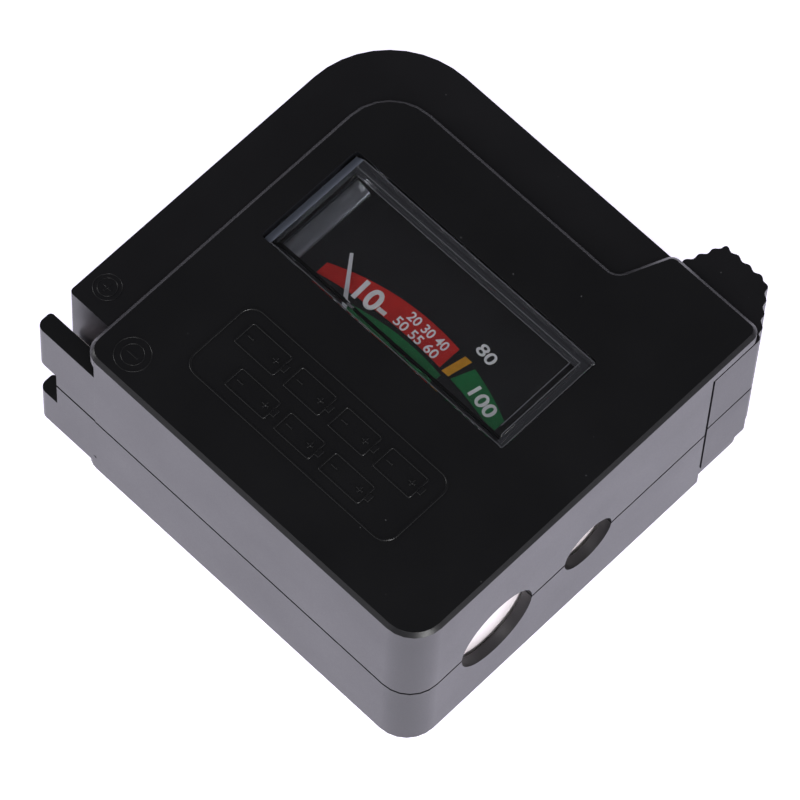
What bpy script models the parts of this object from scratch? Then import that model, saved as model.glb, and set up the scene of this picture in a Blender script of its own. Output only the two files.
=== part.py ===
# Pocket battery tester with a pull-out cell arm and a moving-coil meter.
# Design coordinates are millimetres: x from the left end, y from the front face,
# z from the surface it stands on. The finished model is centred over its own origin, in metres.
import math

import bmesh
import bpy
from mathutils import Matrix, Vector

MM = 0.001

# Case
WIDTH = 51.0             # hook end to right face
DEPTH = 53.0             # front face to tip of the pull tab
HEIGHT = 24.2
PARTING = 10.6           # height of the joint between the two case halves
GAP = 0.3                # clearance between neighbouring pieces
WALL = 1.6
SOCKET_WALL = 1.2        # the right wall, round the sockets
TOP_PLATE = 1.7
BOTTOM_PLATE = 2.4
FLOOR_TOP = 1.8
TOP_PLATE_LEFT = 6.4     # the top and bottom plates overhang the arm
BOTTOM_PLATE_LEFT = 6.0
PLATE_BACK = 42.2
BRIDGE_BACK = 47.9       # the plates reach further back over the sliding tongue
BRIDGE_LEFT = 36.9
BRIDGE_SLANT = 2.4
BRIDGE_INSET = 0.5       # the bottom one stands in from the right here
BODY_LEFT = 8.05
BODY_BACK = 41.15
FRONT_CORNER = 3.7
PLATE_CORNER = 5.6
HOOK_CORNER = 0.9
RIM = 0.42               # chamfer round the edge of the top plate
FLUSH = 0.03             # walls stand this far inside the plates that they are flush with

# Fixed hook with its contact
HOOK_BOTTOM = 1.1
HOOK_TOP = 20.2
HOOK_WALL = 2.1
NOTCH_DEPTH = 2.6
NOTCH_BOTTOM = 6.8
NOTCH_TOP = 12.8
SHEET = 0.4              # contact metal

# Sockets for the snap terminals of a nine-volt battery
SOCKET_SPACING = 12.7
NEGATIVE_SOCKET = 11.95
NEGATIVE_RADIUS = 4.85
POSITIVE_RADIUS = 3.275

# Sliding arm
ARM_BOTTOM = 2.7
ARM_TOP = 22.2
ARM_PARTING = 11.75
ARM_END = 4.2
ARM_INNER = 7.75
ARM_BAR = 41.45
ARM_LEFT = 0.4
ARM_BACK = 48.3
ARM_CORNER = 10.5
ARM_INNER_CORNER = 6.0
ARM_WALL = 1.4
ARM_BLOCK_EDGE = 0.6
TAB_FOOT = (39.6, 50.7)               # x limits of the pull tab at the arm and at its tip
TAB_TIP = (41.5, 47.3)
TAB_RIDGES = 11
RIDGE_DEPTH = 0.28
TONGUE = (43.6, 47.6, 5.1, 16.7)      # x and z limits of the tongue
TONGUE_FRONT = 3.0
RAIL = (42.9, 48.3, 4.4, 17.4)        # x and z limits of the telescopic rail
RAIL_FRONT = 2.4
RAIL_BACK = 41.1
RAIL_SLIT = (8.0, 13.8)
SLOT = (42.5, 48.7, 4.0, 17.8)        # way through the back wall

# Meter window and dial
WINDOW = (9.8, 42.2, 20.9, 34.1)
COVER_PLAY = 0.15
COVER_WALL = 1.0
COVER_LID = 0.9
COVER_BOTTOM = 21.7
COVER_LIP = 0.7
COVER_LIP_TOP = 22.2
DIAL = (10.2, 41.8, 17.8, 34.3)
DIAL_TOP = 20.5
DIAL_SHEET = 0.4

# Movement
PIVOT = (27.0, 13.0)
BASE = (15.2, 37.3, 3.2, 33.4)
BASE_BOTTOM = 3.6
BASE_TOP = 6.0
CORE_RADIUS = 4.0
CORE = (8.0, 15.8)
YOKE_OUTER = 8.0
YOKE_INNER = 6.3
YOKE = (6.4, 16.6)
COIL_INNER = 4.4
COIL_WALL = 0.35
WINDING = 0.7
COIL = (7.3, 16.5)
COIL_WIDTH = 2.6
POINTER_HEIGHT = 20.9
POINTER_LENGTH = 17.4
POINTER_TAIL = 4.2
POINTER_REST = 37.5                  # degrees left of straight ahead
POINTER_SWING = 82.0
BRIDGE_SPAN = 8.5
BRIDGE_POST = 1.6
BRIDGE = (21.6, 22.2)

# Screws: centre, and which plate they close
CASE_SCREWS = {
    "case_screw_back_left": (12.6, 36.9),
    "case_screw_back_right": (39.4, 36.9),
    "case_screw_front_left": (12.6, 5.8),
    "case_screw_front_right": (40.1, 5.4),
}
ARM_SCREWS = {"arm_screw_leg": (4.7, 20.0), "arm_screw_bar": (25.0, 44.5)}
DIAL_SCREWS = {"dial_screw_left": (16.6, 19.3), "dial_screw_right": (37.0, 19.3)}
LOWER_BOSS = 2.4
UPPER_BOSS = 1.9
SCREW_HEAD = 1.6
SCREW_SHANK = 0.6
ARM_BOSS = 1.35

COLOURS = {
    "black_abs": ((0.012, 0.012, 0.014), 0.42, 0.0),
    "clear_plastic": ((0.75, 0.78, 0.80), 0.08, 0.0),
    "dial_black": ((0.015, 0.015, 0.017), 0.6, 0.0),
    "nickel": ((0.72, 0.68, 0.67), 0.25, 1.0),
    "steel": ((0.55, 0.55, 0.57), 0.3, 1.0),
    "soft_iron": ((0.30, 0.30, 0.32), 0.45, 1.0),
    "brass": ((0.75, 0.58, 0.28), 0.3, 1.0),
    "copper": ((0.72, 0.35, 0.20), 0.35, 1.0),
    "aluminium": ((0.80, 0.80, 0.82), 0.35, 1.0),
    "white_paint": ((0.85, 0.85, 0.85), 0.5, 0.0),
    "grey_abs": ((0.20, 0.20, 0.21), 0.5, 0.0),
    "resistor_body": ((0.62, 0.50, 0.34), 0.5, 0.0),
    "red_insulation": ((0.55, 0.02, 0.02), 0.45, 0.0),
    "black_insulation": ((0.02, 0.02, 0.02), 0.45, 0.0),
}


# ---------------------------------------------------------------- helpers

def clear_scene():
    for item in list(bpy.data.objects):
        bpy.data.objects.remove(item, do_unlink=True)


def to_world(x, y, z):
    return Vector(((x - WIDTH / 2) * MM, (y - DEPTH / 2) * MM, z * MM))


def material(name):
    if name in bpy.data.materials:
        return bpy.data.materials[name]
    colour, roughness, metallic = COLOURS[name]
    made = bpy.data.materials.new(name)
    made.use_nodes = True
    shader = made.node_tree.nodes["Principled BSDF"]
    shader.inputs["Base Color"].default_value = (*colour, 1.0)
    shader.inputs["Roughness"].default_value = roughness
    shader.inputs["Metallic"].default_value = metallic
    return made


def add_object(name, mesh_data, finish):
    thing = bpy.data.objects.new(name, mesh_data)
    bpy.context.scene.collection.objects.link(thing)
    if finish:
        thing.data.materials.append(material(finish))
    return thing


def outline(corners, steps=6):
    """Closed outline from (x, y, radius) corners, each rounded by an arc."""
    points = []
    count = len(corners)
    for index, (x, y, radius) in enumerate(corners):
        here = Vector((x, y))
        if radius <= 0:
            points.append((x, y))
            continue
        back = (Vector(corners[index - 1][:2]) - here).normalized()
        ahead = (Vector(corners[(index + 1) % count][:2]) - here).normalized()
        half = back.angle(ahead) / 2
        centre = here + (back + ahead).normalized() * radius / math.sin(half)
        first = here + back * radius / math.tan(half) - centre
        turn = first.angle_signed(here + ahead * radius / math.tan(half) - centre)
        for step in range(steps + 1):
            angle = -turn * step / steps
            points.append((centre.x + first.x * math.cos(angle) - first.y * math.sin(angle),
                           centre.y + first.x * math.sin(angle) + first.y * math.cos(angle)))
    return points


def rectangle(x0, x1, y0, y1, radius=0.0, steps=4):
    return outline([(x0, y0, radius), (x1, y0, radius), (x1, y1, radius), (x0, y1, radius)], steps)


def circle(x, y, radius, sides=24):
    return [(x + radius * math.cos(2 * math.pi * i / sides), y + radius * math.sin(2 * math.pi * i / sides))
            for i in range(sides)]


def extrusion(name, profile, low, high, finish=None, along="Z", round_sides=False):
    """Prism of a flat profile: (x, y) along Z, (x, z) along Y or (y, z) along X."""
    order = {"Z": lambda a, b, c: (a, b, c), "Y": lambda a, b, c: (a, c, b), "X": lambda a, b, c: (c, a, b)}[along]
    shape = bmesh.new()
    ends = [[shape.verts.new(to_world(*order(a, b, level))) for a, b in profile] for level in (low, high)]
    shape.faces.new(ends[0])
    shape.faces.new(ends[1])
    for i in range(len(profile)):
        j = (i + 1) % len(profile)
        shape.faces.new((ends[0][i], ends[0][j], ends[1][j], ends[1][i]))
    bmesh.ops.recalc_face_normals(shape, faces=shape.faces)
    mesh_data = bpy.data.meshes.new(name)
    shape.to_mesh(mesh_data)
    shape.free()
    if round_sides:
        smooth(mesh_data)
    return add_object(name, mesh_data, finish)


def smooth(mesh_data, angle=35):
    mesh_data.shade_smooth()
    mesh_data.set_sharp_from_angle(angle=math.radians(angle))


def block(name, x, y, z, finish=None):
    return extrusion(name, rectangle(x[0], x[1], y[0], y[1]), z[0], z[1], finish)


def rod(name, centre, radius, low, high, finish=None, along="Z", sides=24):
    return extrusion(name, circle(centre[0], centre[1], radius, sides), low, high, finish, along, True)


def boolean(target, tools, operation):
    """Join or cut target with each tool, then drop the tools."""
    for tool in tools:
        step = target.modifiers.new("step", "BOOLEAN")
        step.operation = operation
        step.solver = "EXACT"
        step.object = tool
        result = bpy.data.meshes.new_from_object(target.evaluated_get(bpy.context.evaluated_depsgraph_get()))
        target.modifiers.remove(step)
        target.data = result
        close_slivers(result)
        bpy.data.objects.remove(tool, do_unlink=True)
    return target


def close_slivers(mesh_data):
    """Merge the points that a cut leaves within two micrometres of each other."""
    shape = bmesh.new()
    shape.from_mesh(mesh_data)
    bmesh.ops.remove_doubles(shape, verts=shape.verts, dist=0.002 * MM)
    bmesh.ops.dissolve_degenerate(shape, edges=shape.edges, dist=0.001 * MM)
    shape.to_mesh(mesh_data)
    shape.free()


def join(target, *tools):
    return boolean(target, tools, "UNION")


def cut(target, *tools):
    return boolean(target, tools, "DIFFERENCE")


def lathe(name, profile, centre, finish, sides=24):
    """Solid of revolution about a vertical axis, from (radius, height) points between two axis points."""
    shape = bmesh.new()
    rings = []
    for radius, height in profile:
        if radius == 0:
            rings.append([shape.verts.new(to_world(centre[0], centre[1], height))])
        else:
            rings.append([shape.verts.new(to_world(x, y, height)) for x, y in circle(*centre, radius, sides)])
    for lower, upper in zip(rings, rings[1:]):
        for i in range(sides):
            j = (i + 1) % sides
            face = [lower[i % len(lower)], lower[j % len(lower)], upper[j % len(upper)], upper[i % len(upper)]]
            shape.faces.new(list(dict.fromkeys(face)))
    bmesh.ops.recalc_face_normals(shape, faces=shape.faces)
    mesh_data = bpy.data.meshes.new(name)
    shape.to_mesh(mesh_data)
    shape.free()
    smooth(mesh_data)
    return add_object(name, mesh_data, finish)


def wire(name, route, radius, finish, samples=10):
    """Insulated wire along a smooth curve through the route's points."""
    points = [Vector(point) for point in route]
    padded = [points[0] * 2 - points[1]] + points + [points[-1] * 2 - points[-2]]
    path = []
    for i in range(1, len(padded) - 2):
        a, b, c, d = padded[i - 1:i + 3]
        for step in range(samples):
            t = step / samples
            path.append(0.5 * (2 * b + (c - a) * t + (2 * a - 5 * b + 4 * c - d) * t * t
                               + (3 * b - a - 3 * c + d) * t ** 3))
    path.append(points[-1])
    curve = bpy.data.curves.new(name, "CURVE")
    curve.dimensions = "3D"
    curve.bevel_depth = radius * MM
    curve.bevel_resolution = 1
    curve.use_fill_caps = True
    spline = curve.splines.new("POLY")
    spline.points.add(len(path) - 1)
    for point, place in zip(spline.points, path):
        point.co = (*to_world(*place), 1.0)
    return add_object(name, curve, finish)


# ---------------------------------------------------------------- case

def plate_outline(left, inset=0.0):
    """Outline of the top or bottom plate; the part behind the body may stand in from the right."""
    step = [(WIDTH, BODY_BACK + FLUSH, 0), (WIDTH - inset, BODY_BACK + FLUSH, 0)] if inset else []
    return outline([
        (left, 0.0, 2.0),
        (WIDTH, 0.0, FRONT_CORNER),
        *step,
        (WIDTH - inset, BRIDGE_BACK, 1.2),
        (BRIDGE_LEFT + BRIDGE_SLANT, BRIDGE_BACK, 1.2),
        (BRIDGE_LEFT, PLATE_BACK, 1.5),
        (left, PLATE_BACK, PLATE_CORNER),
    ])


def body_outline():
    return outline([
        (BODY_LEFT, FLUSH, 0),
        (WIDTH - FLUSH, FLUSH, FRONT_CORNER - FLUSH),
        (WIDTH - FLUSH, BODY_BACK, 0),
        (BODY_LEFT, BODY_BACK, ARM_INNER_CORNER - GAP),
    ])


def room_outline():
    return outline([
        (BODY_LEFT + WALL, WALL, 0.5),
        (WIDTH - SOCKET_WALL, WALL, FRONT_CORNER - WALL),
        (WIDTH - SOCKET_WALL, BODY_BACK - WALL, 0.5),
        (BODY_LEFT + WALL, BODY_BACK - WALL, ARM_INNER_CORNER - GAP - WALL),
    ])


def socket_cutters():
    left = WIDTH - SOCKET_WALL - 1.0
    right = WIDTH + 1.0
    positive = NEGATIVE_SOCKET + SOCKET_SPACING
    return [
        rod("cut", (NEGATIVE_SOCKET, PARTING), NEGATIVE_RADIUS, left, right, along="X", sides=40),
        rod("cut", (positive, PARTING), POSITIVE_RADIUS, left, right, along="X", sides=32),
    ]


def way_cutters():
    """Openings for the arm's tongue, the hook contact and the notch in the hook."""
    return [
        block("cut", SLOT[:2], (BODY_BACK - WALL - 1.0, BODY_BACK + 1.0), SLOT[2:]),
        block("cut", (BODY_LEFT - 0.6, BODY_LEFT + WALL + 0.6), (HOOK_WALL + 0.1, 3.3), (5.2, 16.3)),
        block("cut", (-1.0, NOTCH_DEPTH), (-1.0, HOOK_WALL + 1.0), (NOTCH_BOTTOM, NOTCH_TOP)),
    ]


def case_half(name, low, high, room, plate):
    """Walls, plate and hook of one case half, between two heights."""
    half = extrusion(name, body_outline(), low, high, "black_abs")
    join(half, plate)
    ends = (max(low + FLUSH, HOOK_BOTTOM), min(high - FLUSH, HOOK_TOP))
    profile = outline([(0.0, 2 * FLUSH, HOOK_CORNER), (BODY_LEFT + 1.0, 2 * FLUSH, 0), (BODY_LEFT + 1.0, HOOK_WALL, 0),
                       (0.0, HOOK_WALL, HOOK_CORNER / 2)])
    hook = extrusion("hook", profile, *ends)
    join(half, hook)
    cut(half, extrusion("cut", room_outline(), *room))
    return half


def make_bottom_shell():
    top = PARTING - GAP / 2
    plate = extrusion("plate", plate_outline(BOTTOM_PLATE_LEFT, BRIDGE_INSET), 0.0, BOTTOM_PLATE)
    shell = case_half("bottom_shell", FLOOR_TOP / 2, top, (FLOOR_TOP, top + 1), plate)
    for centre in CASE_SCREWS.values():
        join(shell, rod("boss", centre, LOWER_BOSS, FLOOR_TOP - 0.8, top - 0.2))
    for x in (BASE[0] + 1.6, BASE[1] - 1.6):
        join(shell, rod("post", (x, BASE[3] - 2.0), 1.4, FLOOR_TOP - 0.8, BASE_BOTTOM - GAP))
    cut(shell, *socket_cutters(), *way_cutters())
    for centre in CASE_SCREWS.values():
        cut(shell, rod("cut", centre, SCREW_SHANK + 0.5, -1.0, PARTING + 1))
        cut(shell, rod("cut", centre, SCREW_HEAD + 0.3, -1.0, 2.7))
    return shell


def make_top_shell():
    bottom = PARTING + GAP / 2
    plate = rimmed_plate()
    ceiling = HEIGHT - TOP_PLATE
    shell = case_half("top_shell", bottom, HEIGHT - RIM - 0.2, (bottom - 1, ceiling), plate)
    for centre in CASE_SCREWS.values():
        join(shell, rod("boss", centre, UPPER_BOSS, bottom + 0.2, ceiling + 0.5))
    cut(shell, *socket_cutters(), *way_cutters())
    for centre in CASE_SCREWS.values():
        cut(shell, rod("cut", centre, SCREW_SHANK + 0.15, bottom - 1, 19.0))
    cut(shell, extrusion("cut", rectangle(*WINDOW, 0.4), ceiling - 1, HEIGHT + 1))
    return shell


def rimmed_plate():
    """Top plate with a chamfer round its upper edge."""
    plate = extrusion("plate", plate_outline(TOP_PLATE_LEFT), HEIGHT - TOP_PLATE, HEIGHT)
    shape = bmesh.new()
    shape.from_mesh(plate.data)
    top = max(vertex.co.z for vertex in shape.verts)
    rim = [edge for edge in shape.edges if all(abs(v.co.z - top) < 1e-6 for v in edge.verts)]
    bmesh.ops.bevel(shape, geom=rim, offset=RIM * MM, segments=1, affect="EDGES")
    shape.to_mesh(plate.data)
    shape.free()
    return plate


# ---------------------------------------------------------------- arm

def tab_outline():
    """Tapered pull tab with a row of ridges for the thumb, from right to left."""
    path = [Vector(point) for point in outline([
        (TAB_FOOT[1], ARM_BACK, 0), (TAB_TIP[1], DEPTH, 1.6), (TAB_TIP[0], DEPTH, 0.8), (TAB_FOOT[0], ARM_BACK, 0)])]
    lengths = [(b - a).length for a, b in zip(path, path[1:])]
    steps = TAB_RIDGES * 6
    points = []
    for step in range(steps + 1):
        left = sum(lengths) * step / steps
        index = 0
        while index < len(lengths) - 1 and left > lengths[index]:
            left -= lengths[index]
            index += 1
        along = (path[index + 1] - path[index]).normalized()
        inward = Vector((-along.y, along.x)) * RIDGE_DEPTH * (1 + math.cos(2 * math.pi * step * TAB_RIDGES / steps)) / 2
        points.append(tuple(path[index] + along * left + inward))
    return points


def arm_outline():
    return outline([
        (ARM_LEFT, ARM_END, 0.5),
        (ARM_INNER, ARM_END, 0.5),
        (ARM_INNER, ARM_BAR, ARM_INNER_CORNER),
        (WIDTH, ARM_BAR, 0),
        (WIDTH, ARM_BACK, ARM_BLOCK_EDGE),
        *[(x, y, 0) for x, y in tab_outline()],
        (ARM_LEFT, ARM_BACK, ARM_CORNER),
    ], steps=10)


def arm_room_outline():
    return outline([
        (ARM_LEFT + ARM_WALL, ARM_END + ARM_WALL, 0),
        (ARM_INNER - ARM_WALL, ARM_END + ARM_WALL, 0),
        (ARM_INNER - ARM_WALL, ARM_BAR + ARM_WALL, ARM_INNER_CORNER + ARM_WALL),
        (WIDTH - ARM_WALL, ARM_BAR + ARM_WALL, 0),
        (WIDTH - ARM_WALL, ARM_BACK - ARM_WALL, 0),
        (ARM_LEFT + ARM_WALL, ARM_BACK - ARM_WALL, ARM_CORNER - ARM_WALL),
    ], steps=10)


def arm_half(name, low, high, room, tongue):
    half = extrusion(name, arm_outline(), low, high, "black_abs")
    cut(half, extrusion("cut", arm_room_outline(), *room))
    join(half, block("tongue", TONGUE[:2], (TONGUE_FRONT, ARM_BAR + ARM_WALL / 2), tongue))
    cut(half, block("cut", (3.0, 4.8), (ARM_END - 1, ARM_END + ARM_WALL + 1), (ARM_PARTING - 0.8, ARM_PARTING + 0.8)))
    return half


def make_arm_lower_shell():
    top = ARM_PARTING - GAP / 2
    shell = arm_half("arm_lower_shell", ARM_BOTTOM, top, (ARM_BOTTOM + ARM_WALL, top + 1), (TONGUE[2], top - FLUSH))
    for centre in ARM_SCREWS.values():
        join(shell, rod("boss", centre, ARM_BOSS, ARM_BOTTOM + 0.5, top - 0.2, sides=16))
        cut(shell, rod("cut", centre, SCREW_SHANK + 0.25, ARM_BOTTOM - 1, top + 1, sides=16))
        cut(shell, rod("cut", centre, SCREW_HEAD - 0.2, ARM_BOTTOM - 1, ARM_BOTTOM + 1.0, sides=16))
    return shell


def make_arm_upper_shell():
    bottom = ARM_PARTING + GAP / 2
    shell = arm_half("arm_upper_shell", bottom, ARM_TOP, (bottom - 1, ARM_TOP - ARM_WALL), (bottom + FLUSH, TONGUE[3]))
    for centre in ARM_SCREWS.values():
        join(shell, rod("boss", centre, ARM_BOSS, bottom + 0.2, ARM_TOP - ARM_WALL + 0.5, sides=16))
        cut(shell, rod("cut", centre, SCREW_SHANK + 0.15, bottom - 1, 18.5, sides=16))
    return shell


def make_arm_contact():
    """Spring plate on the arm's end, with a tab through the end wall."""
    back = ARM_END - GAP
    plate = block("arm_contact", (1.4, 6.4), (back - SHEET, back), (7.0, 15.0), "nickel")
    tab = block("tab", (3.4, 4.4), (back - SHEET / 2, 7.4), (ARM_PARTING - SHEET / 2, ARM_PARTING + SHEET / 2))
    return join(plate, tab)


def make_arm_conductor():
    """Sheet strip inside the arm, from its contact round the corner to the tongue."""
    inset = ARM_WALL + 0.25
    outer, radius = ARM_LEFT + inset, ARM_CORNER - inset
    inner = outer + SHEET
    back = ARM_BACK - inset
    profile = outline([
        (outer, 8.2, 0), (inner, 8.2, 0), (inner, back - SHEET, radius - SHEET),
        (46.0, back - SHEET, 0), (46.0, back, 0), (outer, back, radius),
    ], steps=8)
    return extrusion("arm_conductor", profile, 9.4, 14.2, "brass", round_sides=True)


def make_slide_rail():
    """Steel channel that runs in the case and carries the tongue."""
    x0, x1, z0, z1 = RAIL
    rail = extrusion("slide_rail", rectangle(x0, x1, z0, z1, 0.4, 2), RAIL_FRONT, RAIL_BACK, "steel", along="Y")
    inside = rectangle(x0 + SHEET, x1 - SHEET, z0 + SHEET, z1 - SHEET)
    cut(rail, extrusion("cut", inside, RAIL_FRONT - 1, RAIL_BACK + 1, along="Y"))
    return cut(rail, block("cut", (x0 - 1, x0 + 1), (RAIL_FRONT - 1, RAIL_BACK + 1), RAIL_SLIT))


# ---------------------------------------------------------------- contacts and wiring

def make_hook_contact():
    front = HOOK_WALL + 0.35
    plate = block("hook_contact", (1.0, 7.4), (front, front + SHEET), (6.0, 16.0), "nickel")
    return join(plate, block("tail", (6.0, 11.6), (front, front + SHEET), (7.0, 12.0)))


def make_socket_plate(name, centre, half_width):
    right = WIDTH - SOCKET_WALL - GAP
    profile = rectangle(centre - half_width, centre + half_width, PARTING - 5.6, PARTING + 5.6, 0.8, 3)
    return extrusion(name, profile, right - SHEET, right, "nickel", along="X")


def make_wiper():
    """Leaf spring that bears on the rail and carries the arm's current."""
    side = RAIL[0] - GAP
    profile = outline([
        (side - 2.2, 26.0, 0), (side - 1.9, 26.0, 0), (side, 29.2, 0.8), (side - 1.9, 32.4, 0),
        (side - 2.2, 32.4, 0), (side - 0.35, 29.2, 0.5),
    ], steps=4)
    return extrusion("wiper_spring", profile, 14.4, 16.6, "brass", round_sides=True)


def make_resistor(name, centre, radius, length, lead):
    """Axial resistor with its two leads."""
    x, y, z = centre
    body = rod(name, (y, z), radius, x - length / 2, x + length / 2, "resistor_body", along="X", sides=16)
    return join(body, rod("lead", (y, z), 0.3, x - length / 2 - lead, x + length / 2 + lead, along="X", sides=8))


def make_wires():
    wire("hook_wire", [(12.1, 2.65, 10.6), (13.2, 2.5, 14.0), (15.5, 2.4, 18.6), (22.0, 2.5, 19.6), (32.0, 2.5, 19.6),
                       (41.0, 2.6, 19.4), (45.5, 4.2, 19.0), (48.1, 7.4, 18.4)], 0.45, "black_insulation", 8)
    wire("rail_wire", [(39.8, 27.4, 15.4), (38.8, 30.4, 13.6), (37.4, 33.6, 10.0), (36.5, 35.5, 7.4), (36.0, 36.6, 5.4)],
         0.45, "red_insulation", 8)
    wire("socket_wire", [(48.1, 28.6, 18.6), (45.4, 30.6, 19.3), (41.0, 32.4, 19.0), (37.4, 34.7, 16.2),
                         (33.6, 36.8, 12.0), (29.8, 37.2, 8.4), (28.4, 36.9, 5.4)], 0.45, "red_insulation", 8)
    wire("coil_wire", [(16.8, 36.9, 5.2), (16.2, 35.0, 7.5), (15.4, 30.0, 8.6), (15.4, 24.0, 8.6), (17.4, 21.8, 7.0)],
         0.35, "red_insulation", 8)


# ---------------------------------------------------------------- meter

def make_meter_cover():
    """Clear lid that stands in the window, open below, with a lip under the plate."""
    x0, x1, y0, y1 = WINDOW
    top = HEIGHT - 0.2
    cover = block("meter_cover", (x0 + COVER_PLAY, x1 - COVER_PLAY), (y0 + COVER_PLAY, y1 - COVER_PLAY),
                  (COVER_BOTTOM, top), "clear_plastic")
    join(cover, block("lip", (x0 + COVER_PLAY + 0.1, x1 - COVER_PLAY - 0.1), (y0 - COVER_LIP, y1 + COVER_LIP),
                      (COVER_BOTTOM, COVER_LIP_TOP)))
    inset = COVER_PLAY + COVER_WALL
    return cut(cover, block("cut", (x0 + inset, x1 - inset), (y0 + inset, y1 - inset),
                            (COVER_BOTTOM - 1, top - COVER_LID)))


def make_dial_plate():
    dial = extrusion("dial_plate", rectangle(*DIAL, 0.5, 2), DIAL_TOP - DIAL_SHEET, DIAL_TOP, "dial_black")
    for centre in DIAL_SCREWS.values():
        cut(dial, rod("cut", centre, 0.8, DIAL_TOP - 1, DIAL_TOP + 1, sides=16))
    return dial


def make_meter_base():
    """Moulded frame that carries the movement and the dial."""
    base = extrusion("meter_base", rectangle(*BASE, 1.5), BASE_BOTTOM, BASE_TOP, "grey_abs")
    pillar_top = DIAL_TOP - DIAL_SHEET - GAP
    for centre in DIAL_SCREWS.values():
        join(base, rod("pillar", centre, 1.3, BASE_TOP - 0.5, pillar_top, sides=16))
        cut(base, rod("cut", centre, 0.65, 14.0, pillar_top + 1, sides=12))
    for x in (BASE[0] + 1.6, BASE[1] - 1.6):
        cut(base, rod("cut", (x, BASE[3] - 2.0), 0.7, BASE_BOTTOM - 1, BASE_TOP + 1, sides=12))
    return cut(base, rod("cut", PIVOT, 1.3, BASE_BOTTOM - 1, BASE_TOP + 1))


def make_yoke():
    yoke = rod("yoke_ring", PIVOT, YOKE_OUTER, *YOKE, "soft_iron", sides=36)
    return cut(yoke, rod("cut", PIVOT, YOKE_INNER, YOKE[0] - 1, YOKE[1] + 1, sides=36))


def make_core_bracket():
    """Brass bar that holds the core from the yoke, clear of the coil's swing."""
    x, y = PIVOT
    return block("core_bracket", (x - 0.9, x + 0.9), (y + CORE_RADIUS + 0.1, y + YOKE_INNER - 0.1), (10.0, 14.0), "brass")


def swing_frame(name, inner, outer, heights, width, finish):
    """Rectangular loop that stands around the core, square to the pointer's mid position."""
    x, y = PIVOT
    low, high = heights
    grow = outer - inner
    loop = extrusion(name, rectangle(x - outer, x + outer, low - grow, high + grow, 0.5, 3),
                     y - width / 2, y + width / 2, finish, along="Y", round_sides=True)
    return cut(loop, extrusion("cut", rectangle(x - inner, x + inner, low, high), y - width, y + width, along="Y"))


def turn_on_pivot(piece, degrees):
    place = to_world(*PIVOT, 0.0)
    piece.data.transform(Matrix.Translation(place) @ Matrix.Rotation(math.radians(degrees), 4, "Z")
                         @ Matrix.Translation(-place))


def make_coil():
    """Copper winding on an aluminium frame, half a swing round from the middle of its travel."""
    former = swing_frame("coil_former", COIL_INNER, COIL_INNER + COIL_WALL, COIL, COIL_WIDTH, "aluminium")
    inner = COIL_INNER + COIL_WALL + 0.02
    heights = (COIL[0] - COIL_WALL - 0.02, COIL[1] + COIL_WALL + 0.02)
    winding = swing_frame("coil_winding", inner, inner + WINDING, heights, COIL_WIDTH - 0.5, "copper")
    for piece in (former, winding):
        turn_on_pivot(piece, POINTER_SWING / 2)


def make_pivots():
    low = COIL[0] - COIL_WALL - WINDING - 0.25
    lathe("lower_pivot", [(0, low - 0.85), (0.35, low - 0.6), (0.35, low - 0.4), (0.9, low - 0.25), (0.9, low), (0, low)],
          PIVOT, "steel", 16)
    high = COIL[1] + COIL_WALL + WINDING + 0.25
    lathe("upper_pivot", [(0, high), (0.9, high), (0.9, high + 0.35), (0.45, high + 0.5), (0.45, 21.1), (0, 21.35)],
          PIVOT, "steel", 16)


def make_jewels():
    lathe("lower_jewel_screw", [(0, 3.7), (1.0, 3.7), (1.0, 4.6), (0.5, 4.9), (0, 4.9)], PIVOT, "brass", 16)
    lathe("upper_jewel_screw", [(0, 21.55), (0.5, 21.55), (0.9, 21.7), (0.9, 22.4), (0, 22.4)], PIVOT, "brass", 16)


def make_upper_bridge():
    """Brass bar over the coil on two posts, holding the upper jewel."""
    x, y = PIVOT
    outer = BRIDGE_SPAN + BRIDGE_POST
    bridge = block("upper_bridge", (x - outer, x + outer), (y - 1.5, y + 1.5), BRIDGE, "brass")
    for side in (-1, 1):
        ends = sorted((x + side * BRIDGE_SPAN, x + side * outer))
        join(bridge, block("post", ends, (y - 1.5, y + 1.5), (BASE_TOP + GAP, BRIDGE[1] - 0.1)))
    return cut(bridge, rod("cut", PIVOT, 1.15, BRIDGE[0] - 1, BRIDGE[1] + 1, sides=16))


def make_hairspring():
    """Flat spiral between the coil and the bridge."""
    turns, pitch, start = 3.0, 0.62, 1.0
    steps = int(turns * 20)
    x, y = PIVOT
    spiral = []
    for thickness in (0.09, -0.09):
        side = []
        for step in range(steps + 1):
            angle = 2 * math.pi * turns * step / steps
            radius = start + pitch * angle / (2 * math.pi) + thickness
            side.append((x + radius * math.cos(angle), y + radius * math.sin(angle)))
        spiral.append(side)
    return extrusion("hairspring", spiral[0] + spiral[1][::-1], 18.6, 19.1, "brass")


def make_pointer():
    """Flat needle on a hub, drawn at its rest angle."""
    angle = math.radians(POINTER_REST)
    ahead = Vector((-math.sin(angle), math.cos(angle)))
    side = Vector((ahead.y, -ahead.x))
    centre = Vector(PIVOT)
    half_widths = [(-POINTER_TAIL, 0.8), (-1.0, 0.35), (POINTER_LENGTH - 7.0, 0.26), (POINTER_LENGTH, 0.18)]
    right = [centre + ahead * reach + side * half for reach, half in half_widths]
    left = [centre + ahead * reach - side * half for reach, half in reversed(half_widths)]
    needle = extrusion("pointer", [tuple(p) for p in right + left], POINTER_HEIGHT, POINTER_HEIGHT + 0.22, "white_paint")
    join(needle, rod("hub", PIVOT, 1.1, POINTER_HEIGHT - 0.1, POINTER_HEIGHT + 0.35, sides=20))
    return cut(needle, rod("cut", PIVOT, 0.6, POINTER_HEIGHT - 1, POINTER_HEIGHT + 1, sides=16))


# ---------------------------------------------------------------- fasteners

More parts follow.
